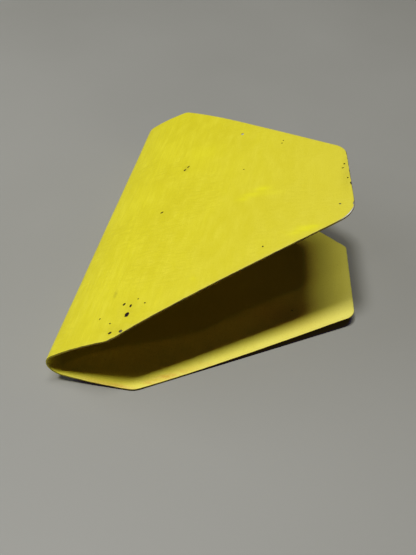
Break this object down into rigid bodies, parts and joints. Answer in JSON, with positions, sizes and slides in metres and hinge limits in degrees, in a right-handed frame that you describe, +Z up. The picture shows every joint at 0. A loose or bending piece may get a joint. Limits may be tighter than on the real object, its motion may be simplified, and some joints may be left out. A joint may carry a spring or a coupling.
{
  "type": "felling wedge",
  "caption": "Thin painted steel sheet folded once into an open V wedge, full width at the rounded fold and tapering to short clipped free ends.",
  "frame": {"origin": "On the surface the wedge lies on, under the middle of its bounding box", "axes": "+Z up, +X from the fold towards the free ends, +Y along the fold, away from the side the wedge is usually seen from"},
  "size_m": [0.0778, 0.1014, 0.0416],
  "materials": {
    "bare_steel": "dull rolled steel, dark where the paint has chipped",
    "yellow_enamel": "satin brushed enamel with small chips",
    "inner_yellow_enamel": "satin enamel with faint rust staining near the edges"
  },
  "bodies": {
    "root": {"folded_sheet": "bare_steel", "outer_paint_coat": "yellow_enamel", "inner_paint_coat": "inner_yellow_enamel"}
  },
  "joints": []
}
